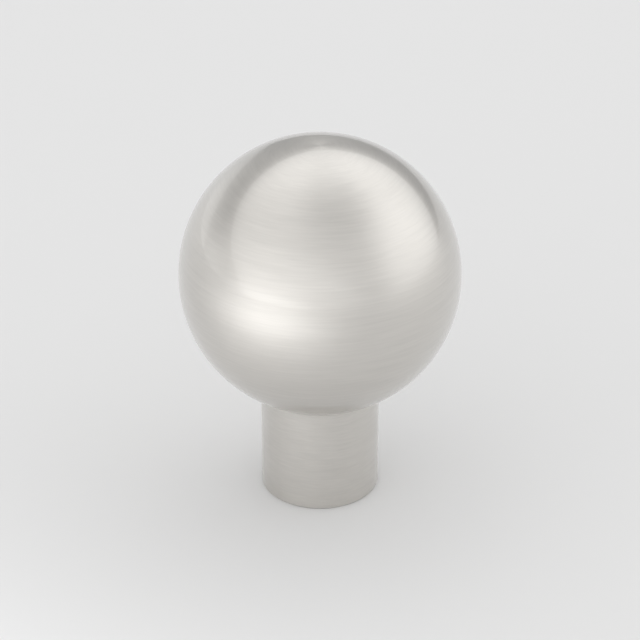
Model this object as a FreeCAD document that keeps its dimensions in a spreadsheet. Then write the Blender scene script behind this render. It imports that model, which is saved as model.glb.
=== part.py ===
"""Ball-headed cabinet knob, turned in one piece from solid metal.

The knob stands on its seat: the flat end of the stem, which closes against the drawer
or door, lies in the XY plane, and +Z runs up the turning axis to the top of the ball.
Lengths are in millimetres.
"""

import FreeCAD
import Part
import Sketcher
import os
from FreeCAD import Vector
from math import isclose, sqrt

# The driving dimensions: each one's name, its value and what it measures.
SIZES = [
    ("ball_diameter", 28.0, "across the ball"),
    ("stem_diameter", 12.0, "across the straight stem"),
    ("knob_height", 38.0, "from the seat to the top of the ball"),
    ("neck_radius", 0.5, "fillet where the stem runs into the ball"),
    ("seat_edge_break", 0.15, "chamfer round the edge of the seat"),
    ("tap_drill_diameter", 3.45, "hole before tapping for an 8-32 screw"),
    ("drilled_depth", 13.5, "from the seat to the end of the full-width hole"),
    ("drill_point_angle", 118.0, "included angle of the drill's point"),
    ("countersink_diameter", 4.6, "mouth of the countersink in the seat"),
    ("countersink_angle", 90.0, "included angle of the countersink"),
]

# Points of a sketched element, and a sketch's own origin and upright axis.
START, END, CENTRE = 1, 2, 3
ORIGIN = (-1, START)
UPRIGHT = -2

# Two heights nearer to each other than this are one.
SAME_HEIGHT = 1e-6


def make_sheet(doc):
    """Puts the driving dimensions in a spreadsheet, each under its name."""
    sheet = doc.addObject("Spreadsheet::Sheet", "sizes")
    for row, (name, value, meaning) in enumerate(SIZES, start=1):
        sheet.set(f"A{row}", meaning)
        sheet.set(f"B{row}", str(value))
        sheet.setAlias(f"B{row}", name)
    doc.recompute()
    return sheet


def sketch_on(body, name, plane_role):
    """An empty sketch on one of the body's own base planes."""
    planes = [item for item in body.Origin.OriginFeatures if item.Role == plane_role]
    sketch = body.newObject("Sketcher::SketchObject", name)
    sketch.AttachmentSupport = [(planes[0], "")]
    sketch.MapMode = "FlatFace"
    return sketch


def relate(sketch, kind, *elements):
    """Ties elements of the sketch to each other, with no dimension."""
    sketch.addConstraint(Sketcher.Constraint(kind, *elements))


def measure(sketch, name, formula, kind, *elements):
    """Adds a named dimension that follows a formula on the spreadsheet."""
    index = sketch.addConstraint(Sketcher.Constraint(kind, *elements))
    sketch.renameConstraint(index, name)
    sketch.setExpression(f"Constraints.{name}", formula)


def draw_outline(body, sheet):
    """Half of the knob's outline: seat, stem side, neck, ball, and the axis as its back.

    The neck is a small hollow arc that runs tangent into the stem's side below it and
    into the ball above it. Both arcs are drawn anticlockwise, as a sketch keeps them.
    """
    ball_radius = sheet.ball_diameter / 2
    stem_radius = sheet.stem_diameter / 2
    neck_radius = sheet.neck_radius

    foot = Vector(0, 0)
    seat_rim = Vector(stem_radius, 0)
    top = Vector(0, sheet.knob_height)
    ball_centre = top - Vector(0, ball_radius)
    equator = ball_centre + Vector(ball_radius, 0)

    between_centres = ball_radius + neck_radius
    neck_offset = stem_radius + neck_radius
    neck_drop = sqrt(between_centres**2 - neck_offset**2)
    neck_centre = ball_centre + Vector(neck_offset, -neck_drop)
    neck_foot = neck_centre - Vector(neck_radius, 0)
    neck_top = neck_centre + (ball_centre - neck_centre) * (neck_radius / between_centres)
    halfway = ((neck_foot + neck_top) / 2 - neck_centre).normalize()
    neck_middle = neck_centre + halfway * neck_radius

    sketch = sketch_on(body, "outline", "XZ_Plane")
    seat = sketch.addGeometry(Part.LineSegment(foot, seat_rim))
    side = sketch.addGeometry(Part.LineSegment(seat_rim, neck_foot))
    neck = sketch.addGeometry(Part.Arc(neck_top, neck_middle, neck_foot))
    ball = sketch.addGeometry(Part.Arc(neck_top, equator, top))
    back = sketch.addGeometry(Part.LineSegment(top, foot))

    relate(sketch, "Coincident", seat, END, side, START)
    relate(sketch, "Tangent", side, END, neck, END)
    relate(sketch, "Tangent", neck, START, ball, START)
    relate(sketch, "Coincident", ball, END, back, START)
    relate(sketch, "Coincident", back, END, seat, START)
    relate(sketch, "Coincident", seat, START, *ORIGIN)
    relate(sketch, "Horizontal", seat)
    relate(sketch, "Vertical", side)
    relate(sketch, "Vertical", back)
    relate(sketch, "PointOnObject", ball, CENTRE, UPRIGHT)

    along_seat = ("DistanceX", seat, START, seat, END)
    up_the_back = ("DistanceY", back, END, back, START)
    measure(sketch, "ball", "sizes.ball_diameter / 2", "Radius", ball, ball_radius)
    measure(sketch, "neck", "sizes.neck_radius", "Radius", neck, neck_radius)
    measure(sketch, "stem", "sizes.stem_diameter / 2", *along_seat, stem_radius)
    measure(sketch, "height", "sizes.knob_height", *up_the_back, sheet.knob_height)
    return sketch


def turn(body, outline):
    """The solid ball and stem, turned about the upright axis."""
    blank = body.newObject("PartDesign::Revolution", "turned_blank")
    blank.Profile = outline
    blank.ReferenceAxis = (outline, ["V_Axis"])
    blank.Angle = 360
    return blank


def is_seat_rim(edge):
    """Whether the edge is a round one in the plane of the seat.

    The top of the ball is an edge too, shrunk to a point, and has no curve to ask for.
    """
    if edge.Degenerated or not isinstance(edge.Curve, Part.Circle):
        return False
    return isclose(edge.Curve.Center.z, 0, abs_tol=SAME_HEIGHT)


def break_seat_edge(body, blank):
    """The small chamfer round the seat."""
    rims = [
        f"Edge{number}"
        for number, edge in enumerate(blank.Shape.Edges, start=1)
        if is_seat_rim(edge)
    ]
    chamfer = body.newObject("PartDesign::Chamfer", "seat_edge")
    chamfer.Base = (blank, rims)
    chamfer.setExpression("Size", "sizes.seat_edge_break")
    return chamfer


def drill_screw_hole(body, sheet):
    """The blind hole up the axis, drilled and countersunk from the seat."""
    sketch = sketch_on(body, "hole_centre", "XY_Plane")
    radius = sheet.tap_drill_diameter / 2
    circle = sketch.addGeometry(Part.Circle(Vector(0, 0), Vector(0, 0, 1), radius))
    relate(sketch, "Coincident", circle, CENTRE, *ORIGIN)
    measure(sketch, "hole", "sizes.tap_drill_diameter / 2", "Radius", circle, radius)
    body.Document.recompute()

    hole = body.newObject("PartDesign::Hole", "screw_hole")
    hole.Profile = sketch
    hole.Reversed = True
    hole.DepthType = "Dimension"
    hole.setExpression("Diameter", "sizes.tap_drill_diameter")
    hole.setExpression("Depth", "sizes.drilled_depth")
    hole.DrillPoint = "Angled"
    hole.setExpression("DrillPointAngle", "sizes.drill_point_angle")
    hole.HoleCutType = "Countersink"
    hole.HoleCutCustomValues = True
    hole.setExpression("HoleCutDiameter", "sizes.countersink_diameter")
    hole.setExpression("HoleCutCountersinkAngle", "sizes.countersink_angle")
    return hole


def make_knob(doc, sheet):
    """The whole knob: turned, its seat edge broken, and drilled from below."""
    body = doc.addObject("PartDesign::Body", "knob")
    blank = turn(body, draw_outline(body, sheet))
    doc.recompute()
    break_seat_edge(body, blank)
    doc.recompute()
    solid_volume = body.Shape.Volume
    drill_screw_hole(body, sheet)
    doc.recompute()
    if body.Shape.Volume >= solid_volume:
        raise ValueError("the screw hole cut nothing from the stem")
    return body


def check(doc, piece):
    """Stops the build if a feature has failed or the piece isn't one sound solid."""
    failed = [
        item.Name
        for item in doc.Objects
        if "Invalid" in item.State or "Error" in item.State
    ]
    if failed:
        raise ValueError(f"these features failed: {failed}")
    shape = piece.Shape
    if shape.isNull() or not shape.isValid() or len(shape.Solids) != 1:
        raise ValueError(f"{piece.Label} isn't one sound solid")


def main():
    doc = FreeCAD.newDocument("cabinet_knob")
    sheet = make_sheet(doc)
    knob = make_knob(doc, sheet)
    check(doc, knob)
    os.makedirs("parts", exist_ok=True)
    knob.Shape.exportStep(f"parts/{knob.Label}.step")
    print(knob.Label, "volume", round(knob.Shape.Volume, 1), knob.Shape.BoundBox)


main()
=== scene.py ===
"""A satin nickel cabinet knob on a pale floor, under soft studio light.

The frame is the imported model. Lengths are in metres, and +Z is the knob's own axis.
"""

from math import cos, pi, radians, sin, sqrt, tan

import bpy
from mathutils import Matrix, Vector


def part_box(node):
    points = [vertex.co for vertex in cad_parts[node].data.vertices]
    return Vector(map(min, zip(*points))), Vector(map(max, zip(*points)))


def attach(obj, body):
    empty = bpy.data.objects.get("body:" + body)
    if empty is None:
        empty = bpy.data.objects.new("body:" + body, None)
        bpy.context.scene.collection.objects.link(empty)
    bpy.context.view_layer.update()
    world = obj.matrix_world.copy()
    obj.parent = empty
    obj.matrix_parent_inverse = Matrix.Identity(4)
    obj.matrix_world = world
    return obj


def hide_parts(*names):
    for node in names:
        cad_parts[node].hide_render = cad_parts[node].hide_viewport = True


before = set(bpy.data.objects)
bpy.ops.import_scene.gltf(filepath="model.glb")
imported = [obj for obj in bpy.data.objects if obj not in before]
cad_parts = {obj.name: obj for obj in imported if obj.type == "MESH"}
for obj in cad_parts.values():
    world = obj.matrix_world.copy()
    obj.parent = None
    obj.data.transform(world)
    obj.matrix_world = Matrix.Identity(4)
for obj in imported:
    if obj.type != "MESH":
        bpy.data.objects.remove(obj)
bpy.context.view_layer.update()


# The knob: a ball on a straight stem, turned in one piece from solid metal.
# Its seat is drilled, countersunk and tapped for an 8-32 screw from behind the door.
# The metal is nickel plated, brushed as it spins, and sealed with a clear lacquer.

MILLIMETRE = 0.001
INCH = 25.4 * MILLIMETRE
TAP_DRILL_RADIUS = 1.725 * MILLIMETRE
DRILL_POINT = radians(118)
low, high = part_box("knob")
SIZES = {
    "Ball Radius": (high.x - low.x) / 2,
    "Height": high.z,
    "Stem Radius": 6 * MILLIMETRE,
    "Neck Radius": 0.5 * MILLIMETRE,
    "Edge Break": 0.15 * MILLIMETRE,
    "Countersink Radius": 2.3 * MILLIMETRE,
    "Bore Radius": TAP_DRILL_RADIUS,
    "Bore Depth": 13.5 * MILLIMETRE,
    "Point Height": TAP_DRILL_RADIUS / tan(DRILL_POINT / 2),
    "Thread Radius": 2.083 * MILLIMETRE,
    "Thread Pitch": INCH / 32,
}

SIDES = 144
BALL_ROWS = 110
NECK_ROWS = 10
STEM_ROWS = 12
EDGE_ROWS = 1
SEAT_ROWS = 4
BORE_ROWS = 2
POINT_ROWS = 6
THREAD_TURNS = 15
FADING_TURNS = 2
ROWS_PER_TURN = 16
ROOT_FLAT = 1 / 8
FLANK_SLOPE = tan(radians(60))
SAME_POINT = 0.5e-6
SHARP_EDGE = radians(35)


class Wire:
    """An output in a node tree. Operators on it add Math nodes, and node() adds any other."""

    def __init__(self, tree, socket=None):
        self.tree = tree
        self.socket = socket

    def node(self, kind, settings=(), sockets=(), output=0):
        made = self.tree.nodes.new(kind)
        for name, value in dict(settings).items():
            setattr(made, name, value)
        for name, value in dict(sockets).items():
            for item in value if isinstance(value, list) else [value]:
                if isinstance(item, Wire):
                    self.tree.links.new(item.socket, made.inputs[name])
                else:
                    made.inputs[name].default_value = item
        return Wire(self.tree, made.outputs[output] if made.outputs else None)

    def output(self, name):
        return Wire(self.tree, self.socket.node.outputs[name])

    def maths(self, operation, *others):
        terms = enumerate((self, *others))
        return self.node("ShaderNodeMath", {"operation": operation}, terms)

    def __add__(self, other):
        return self.maths("ADD", other)

    def __radd__(self, other):
        return self.maths("ADD", other)

    def __sub__(self, other):
        return self.maths("SUBTRACT", other)

    def __rsub__(self, other):
        return self.node("ShaderNodeMath", {"operation": "SUBTRACT"}, {0: other, 1: self})

    def __mul__(self, other):
        return self.maths("MULTIPLY", other)

    def __rmul__(self, other):
        return self.maths("MULTIPLY", other)

    def __truediv__(self, other):
        return self.maths("DIVIDE", other)

    def __rtruediv__(self, other):
        return self.node("ShaderNodeMath", {"operation": "DIVIDE"}, {0: other, 1: self})


def lathe_tree():
    """Nodes that turn the knob: bands of faces, from the top of the ball down its outside,
    across the seat and up the hole, so that every face points out of the metal."""
    tree = bpy.data.node_groups.new("turned_knob", "GeometryNodeTree")
    graph = Wire(tree)
    for name, value in SIZES.items():
        given = tree.interface.new_socket(name, in_out="INPUT", socket_type="NodeSocketFloat")
        given.default_value = value
    tree.interface.new_socket("Finish", in_out="INPUT", socket_type="NodeSocketMaterial")
    tree.interface.new_socket("Knob", in_out="OUTPUT", socket_type="NodeSocketGeometry")
    sizes = graph.node("NodeGroupInput")
    ball, height, stem, neck, edge_break, mouth, bore, depth, point, thread, pitch = (
        sizes.output(name) for name in SIZES
    )

    # Each band starts as a flat grid, 1 by 1 about its centre. Along it runs the knob's outline,
    # and across it goes one turn round the axis, both from 0 to 1.
    place = graph.node("GeometryNodeInputPosition")
    spot = graph.node("ShaderNodeSeparateXYZ", {}, {"Vector": place})
    along = spot.output("X") + 1 / 2
    turned = spot.output("Y") + 1 / 2
    across = (turned * (2 * pi)).maths("COSINE")
    aside = (turned * (2 * pi)).maths("SINE")

    def band(rows, radius, level):
        """Faces swept round the axis, as far out and as high up as the formulas say."""
        counts = {"Size X": 1, "Size Y": 1, "Vertices X": rows + 1, "Vertices Y": SIDES + 1}
        grid = graph.node("GeometryNodeMeshGrid", {}, counts)
        corner = {"X": radius * across, "Y": radius * aside, "Z": level}
        swept = graph.node("ShaderNodeCombineXYZ", {}, corner)
        return graph.node("GeometryNodeSetPosition", {}, {"Geometry": grid, "Position": swept})

    def straight(rows, start, end):
        """A band whose outline is a straight line between two points, each out and up."""
        (radius, level), (last_radius, last_level) = start, end
        return band(
            rows,
            along * last_radius + (1 - along) * radius,
            along * last_level + (1 - along) * level,
        )

    # The ball's outline is an arc about a point on the axis. The neck's is a small hollow arc
    # that touches the ball's arc above it and the stem's side below it.
    ball_level = height - ball
    neck_out = stem + neck
    neck_drop = ((ball + neck) * (ball + neck) - neck_out * neck_out).maths("SQRT")
    neck_level = ball_level - neck_drop
    neck_bend = neck_drop.maths("ARCTAN2", neck_out)
    down_ball = along * (neck_bend + pi / 2)
    down_neck = (1 - along) * neck_bend
    ball_side = ball * down_ball.maths("SINE")
    ball_height = ball_level + ball * down_ball.maths("COSINE")
    neck_side = neck_out - neck * down_neck.maths("COSINE")
    neck_height = neck_level + neck * down_neck.maths("SINE")

    # The rows of the threaded band climb with the thread, by one pitch a turn, and are held
    # between the seat and the last turn. Phase says where a point is across the groove, which is
    # flat at its root, slopes up to the bore on both sides, and fades out in its last turns.
    thread_end = pitch * THREAD_TURNS
    helix = pitch * (along * (THREAD_TURNS + 1) - 1 + turned)
    level = helix.maths("MAXIMUM", 0).maths("MINIMUM", thread_end)
    phase = (level / pitch - turned + 1).maths("FRACT")
    off_root = ((phase - 1 / 2).maths("ABSOLUTE") - ROOT_FLAT / 2).maths("MAXIMUM", 0) * pitch
    last_turns = (level / pitch - (THREAD_TURNS - FADING_TURNS)).maths("MAXIMUM", 0)
    fading = last_turns / FADING_TURNS * (thread - bore)
    groove = thread - off_root * FLANK_SLOPE - fading
    hole_side = groove.maths("MAXIMUM", bore).maths("MAXIMUM", mouth - level)

    bands = [
        band(BALL_ROWS, ball_side, ball_height),
        band(NECK_ROWS, neck_side, neck_height),
        straight(STEM_ROWS, (stem, neck_level), (stem, edge_break)),
        straight(EDGE_ROWS, (stem, edge_break), (stem - edge_break, 0)),
        straight(SEAT_ROWS, (stem - edge_break, 0), (mouth, 0)),
        band(ROWS_PER_TURN * (THREAD_TURNS + 1), hole_side, level),
        straight(BORE_ROWS, (bore, thread_end), (bore, depth)),
        straight(POINT_ROWS, (bore, depth), (0, depth + point)),
    ]
    joined = graph.node("GeometryNodeJoinGeometry", {}, {"Geometry": bands})
    closing = {"Geometry": joined, "Distance": SAME_POINT}
    closed = graph.node("GeometryNodeMergeByDistance", {}, closing)
    smooth = graph.node("GeometryNodeSetShadeSmooth", {}, {"Geometry": closed})
    bend = graph.node("GeometryNodeInputMeshEdgeAngle").maths("GREATER_THAN", SHARP_EDGE)
    sharp = {"Geometry": smooth, "Selection": bend, "Shade Smooth": False}
    creased = graph.node("GeometryNodeSetShadeSmooth", {"domain": "EDGE"}, sharp)
    whole = graph.node("GeometryNodeRealizeInstances", {}, {"Geometry": creased})
    skin = {"Geometry": whole, "Material": sizes.output("Finish")}
    plated = graph.node("GeometryNodeSetMaterial", {}, skin)
    graph.node("NodeGroupOutput", {}, {"Knob": plated})
    return tree


NICKEL = (0.715, 0.692, 0.655, 1)
SCRATCHED_NICKEL = (0.556, 0.538, 0.509, 1)
ROUGHNESS = 0.36
ROUGHNESS_RANGE = 0.06
STRETCH = 0.6
QUARTER_TURN = 0.25
LACQUER = 1
LACQUER_ROUGHNESS = 0.03
HAIRLINE_LENGTH = 5 * MILLIMETRE
HAIRLINE_WIDTH = 0.2 * MILLIMETRE
HAIRLINE_DEPTH = 0.7 * MILLIMETRE / 1000
HAIRLINE_HARSHNESS = 0.6
FINE_SHARE = 0.65
AXIS_WIDTH = MILLIMETRE / 1000


def new_material(name):
    """An empty material and the wire that starts its nodes."""
    material = bpy.data.materials.new(name)
    material.use_nodes = True
    material.node_tree.nodes.clear()
    return material, Wire(material.node_tree)


def satin_nickel():
    """Nickel under a smooth lacquer, with fine scratches round the axis. Its roughness is
    stretched a quarter turn from their way, so that it blurs reflections up and down."""
    material, graph = new_material("satin_nickel")
    ball, stem, neck = SIZES["Ball Radius"], SIZES["Stem Radius"], SIZES["Neck Radius"]
    ball_level = SIZES["Height"] - ball
    neck_level = ball_level - sqrt((ball + neck) ** 2 - (stem + neck) ** 2)

    # The scratches are laid out by the distance down the ball, and below it by the height less
    # the distance out, which changes evenly on the stem's side and on the seat alike.
    place = graph.node("ShaderNodeTexCoord").output("Object")
    spot = graph.node("ShaderNodeSeparateXYZ", {}, {"Vector": place})
    x, y, z = spot.output("X"), spot.output("Y"), spot.output("Z")
    from_axis = (x * x + y * y).maths("SQRT").maths("MAXIMUM", AXIS_WIDTH)
    down_ball = from_axis.maths("ARCTAN2", z - ball_level) * ball
    on_ball = z.maths("GREATER_THAN", neck_level)
    run = down_ball * on_ball + (z - from_axis) * (1 - on_ball)

    def hairlines(length, width, detail):
        """Noise drawn out round the axis, in marks of about the length and width given."""
        turns = ball / length
        stretched = {"X": x / from_axis * turns, "Y": y / from_axis * turns, "Z": run / width}
        where = graph.node("ShaderNodeCombineXYZ", {}, stretched)
        noise = {"Vector": where, "Scale": 1, "Detail": detail, "Roughness": HAIRLINE_HARSHNESS}
        return graph.node("ShaderNodeTexNoise", {}, noise)

    fine = hairlines(HAIRLINE_LENGTH, HAIRLINE_WIDTH, detail=3)
    broad = hairlines(2 * HAIRLINE_LENGTH, 3 * HAIRLINE_WIDTH, detail=2)
    marks = fine * FINE_SHARE + broad * (1 - FINE_SHARE)

    # A Mix node keeps the factor, both colours and the result of a colour mix in these sockets.
    factor, first, second, mixed = 0, 6, 7, 2
    colours = {factor: marks, first: SCRATCHED_NICKEL, second: NICKEL}
    relief = {"Strength": 1, "Distance": HAIRLINE_DEPTH, "Height": marks}
    metal = {
        "Base Color": graph.node("ShaderNodeMix", {"data_type": "RGBA"}, colours, mixed),
        "Metallic": 1,
        "Roughness": ROUGHNESS - ROUGHNESS_RANGE / 2 + marks * ROUGHNESS_RANGE,
        "Anisotropic": STRETCH,
        "Anisotropic Rotation": QUARTER_TURN,
        "Coat Weight": LACQUER,
        "Coat Roughness": LACQUER_ROUGHNESS,
        "Normal": graph.node("ShaderNodeBump", {}, relief),
    }
    surface = graph.node("ShaderNodeBsdfPrincipled", {}, metal)
    graph.node("ShaderNodeOutputMaterial", {}, {"Surface": surface})
    return material


def made_by_nodes(name, tree, material):
    """Runs a node tree once, on the knob's sizes, and gives its result as a plain object."""
    made = bpy.data.objects.new(name, bpy.data.meshes.new(name))
    bpy.context.scene.collection.objects.link(made)
    modifier = made.modifiers.new(name, "NODES")
    modifier.node_group = tree
    given = SIZES | {"Finish": material}
    for item in tree.interface.items_tree:
        if item.in_out == "INPUT":
            modifier[item.identifier] = given[item.name]
    evaluated = made.evaluated_get(bpy.context.evaluated_depsgraph_get())
    mesh = bpy.data.meshes.new_from_object(evaluated)
    mesh.materials.clear()
    mesh.materials.append(material)
    made.modifiers.remove(modifier)
    made.data = mesh
    return made


knob = made_by_nodes("turned_knob", lathe_tree(), satin_nickel())
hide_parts("knob")
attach(knob, "root")


# The floor: a wide pale sheet that the knob stands on, as on a photographer's table.
# The screw would come up through the hole that the knob's seat hides, and light from below
# comes in by it. Seen from below, the sheet is clear, so that the seat and its thread show.

FLOOR_RADIUS = 3.0
HOLE_RADIUS = SIZES["Stem Radius"] - 0.2 * MILLIMETRE
FLOOR_SIDES = 96
FLOOR_COLOUR = (0.76, 0.76, 0.76, 1)


def pale_floor():
    """Pale and matt from above, and clear from below."""
    material, graph = new_material("pale_floor")
    paper = graph.node("ShaderNodeBsdfDiffuse", {}, {"Color": FLOOR_COLOUR})
    clear = graph.node("ShaderNodeBsdfTransparent")
    from_below = graph.node("ShaderNodeNewGeometry").output("Backfacing")
    surface = graph.node("ShaderNodeMixShader", {}, {0: from_below, 1: paper, 2: clear})
    graph.node("ShaderNodeOutputMaterial", {}, {"Surface": surface})
    return material


rims = []
for side in range(FLOOR_SIDES):
    turn = 2 * pi * side / FLOOR_SIDES
    rims += [(reach * cos(turn), reach * sin(turn), 0) for reach in (HOLE_RADIUS, FLOOR_RADIUS)]
strips = [
    (start, start + 1, (start + 3) % len(rims), (start + 2) % len(rims))
    for start in range(0, len(rims), 2)
]
floor_mesh = bpy.data.meshes.new("floor")
floor_mesh.from_pydata(rims, [], strips)
floor_mesh.materials.append(pale_floor())
floor = bpy.data.objects.new("floor", floor_mesh)
bpy.context.scene.collection.objects.link(floor)


# The light: a studio round the knob, made of soft round patches of brightness far away.
# A dome leans over the knob from the front right, and its edge hangs behind. The key is low at
# the front left, mostly under the floor, and light also comes from the back and both sides.

WALLS = 0.134
SOFTBOXES = {
    "dome": (30, 52, 89.5, 91.5, 0.74),
    "dome_middle": (64, 78, 10, 36, -0.35),
    "key": (-43, -55, 58, 67, 1.1),
    "key_glow": (-40, -33, 64, 89, 0.31),
    "right": (88, 17, 14, 45, 0.43),
    "back": (171, 52, 1, 83, 0.54),
    "back_left": (-120, -19, 9, 62, 0.72),
    "far_left": (-142, -18, 31.5, 33, 0.35),
    "left": (-95, -8, 5, 40, 0.34),
}


def faded(distance, middle, edge, full):
    """A glow that is full as far out as the middle goes and gone at the edge."""
    ends = {"From Min": middle, "From Max": edge, "To Min": full, "To Max": 0}
    smooth = {"interpolation_type": "SMOOTHSTEP"}
    return distance.node("ShaderNodeMapRange", smooth, {"Value": distance, **ends})


def studio_light():
    """The walls' brightness and what each softbox adds to it. The table gives where its centre
    hangs, in degrees round from the camera to the right and degrees up, how many degrees out
    its even middle and its faded edge reach, and how bright it is: below 0 it is a shade."""
    world = bpy.data.worlds.new("studio")
    world.use_nodes = True
    world.node_tree.nodes.clear()
    graph = Wire(world.node_tree)
    toward = graph.node("ShaderNodeTexCoord").output("Generated")
    brightness = WALLS
    for azimuth, elevation, middle, edge, full in SOFTBOXES.values():
        turn, rise = radians(azimuth), radians(elevation)
        centre = (sin(turn) * cos(rise), -cos(turn) * cos(rise), sin(rise))
        both = {0: toward, 1: centre}
        near = graph.node("ShaderNodeVectorMath", {"operation": "DOT_PRODUCT"}, both, "Value")
        off = near.maths("ARCCOSINE")
        brightness = brightness + faded(off, radians(middle), radians(edge), full)
    lit = graph.node("ShaderNodeBackground", {}, {"Color": brightness})
    graph.node("ShaderNodeOutputWorld", {}, {"Surface": lit})
    return world


bpy.context.scene.world = studio_light()


# The card: a low bent strip of frosted plastic that stands on the floor at the front left.
# It glows, most in its middle and less towards its edges, and fills the key from below, where
# the floor cuts it off. The camera looks through it.

CARD_RADIUS = 60 * MILLIMETRE
CARD_HEIGHT = 32 * MILLIMETRE
CARD_FOOT = 0.2 * MILLIMETRE
CARD_MIDDLE = 12.5 * MILLIMETRE
CARD_AZIMUTH = radians(-37)
CARD_SPREAD = radians(66)
CARD_SIDES = 32
CARD_GLOW = 1.9


def glowing_card():
    """White frosting that glows evenly and thins out to clear towards the card's edges."""
    material, graph = new_material("glowing_card")
    place = graph.node("ShaderNodeTexCoord").output("Object")
    spot = graph.node("ShaderNodeSeparateXYZ", {}, {"Vector": place})
    azimuth = spot.output("X").maths("ARCTAN2", -1 * spot.output("Y"))
    across = (azimuth - CARD_AZIMUTH) / CARD_SPREAD
    up = (spot.output("Z") - CARD_MIDDLE) / (CARD_HEIGHT - CARD_MIDDLE)
    frosting = faded((across * across + up * up).maths("SQRT"), 0, 1, 1)
    glow = graph.node("ShaderNodeEmission", {}, {"Color": (1, 1, 1, 1), "Strength": CARD_GLOW})
    clear = graph.node("ShaderNodeBsdfTransparent")
    surface = graph.node("ShaderNodeMixShader", {}, {0: frosting, 1: clear, 2: glow})
    graph.node("ShaderNodeOutputMaterial", {}, {"Surface": surface})
    return material


edges = []
for side in range(CARD_SIDES + 1):
    turn = CARD_AZIMUTH + CARD_SPREAD * (2 * side / CARD_SIDES - 1)
    foot = (CARD_RADIUS * sin(turn), -CARD_RADIUS * cos(turn))
    edges += [(*foot, CARD_FOOT), (*foot, CARD_HEIGHT)]
panes = [(start, start + 2, start + 3, start + 1) for start in range(0, 2 * CARD_SIDES, 2)]
card_mesh = bpy.data.meshes.new("glowing_card")
card_mesh.from_pydata(edges, [], panes)
card_mesh.materials.append(glowing_card())
card = bpy.data.objects.new("glowing_card", card_mesh)
card.visible_camera = False
bpy.context.scene.collection.objects.link(card)


# The camera: at the photograph's place, 24 cm from the knob's foot and looking down on it by
# about 30 degrees, with a long lens that keeps the stem's sides nearly parallel.

CAMERA_PLACE = (0, -0.20356, 0.13466)
CAMERA_TILT = radians(60.34)
LENS = 131.85

camera_data = bpy.data.cameras.new("camera")
camera_data.lens = LENS
camera = bpy.data.objects.new("camera", camera_data)
camera.location = CAMERA_PLACE
camera.rotation_euler = (CAMERA_TILT, 0, 0)
bpy.context.scene.collection.objects.link(camera)
bpy.context.scene.camera = camera
bpy.context.scene.view_settings.view_transform = "Standard"
